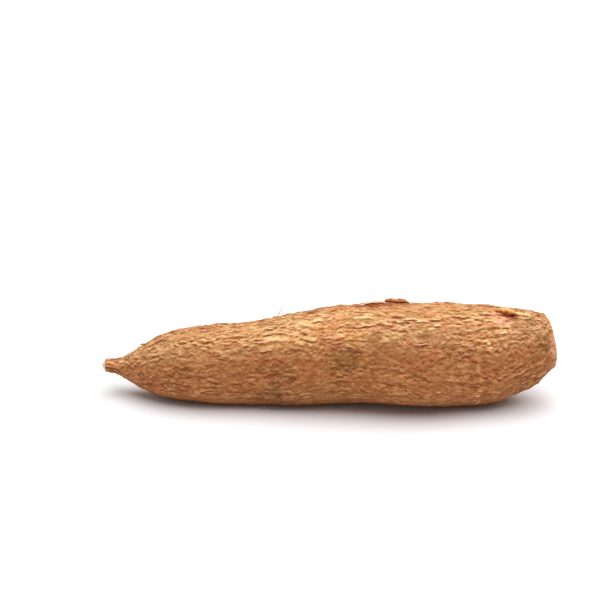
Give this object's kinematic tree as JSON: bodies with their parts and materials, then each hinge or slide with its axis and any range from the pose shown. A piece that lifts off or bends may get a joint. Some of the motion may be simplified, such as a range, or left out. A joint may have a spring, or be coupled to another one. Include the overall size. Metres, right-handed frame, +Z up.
{
  "type": "cassava root",
  "caption": "Whole cassava root lying on its side, cut across at the stem end and tapering to a snapped tail, with scaly brown bark.",
  "frame": {"origin": "middle of the underside of the root's box, on the plane it rests on", "axes": "+X along the root towards the cut stem end, +Z up, -Y towards the side seen in the picture"},
  "size_m": [0.2816, 0.0716, 0.0662],
  "materials": {
    "bark": "matt, dry and scaly, light tan on the raised edges and red-brown in the grooves"
  },
  "bodies": {
    "root": {"cassava_root": "bark"}
  },
  "joints": []
}
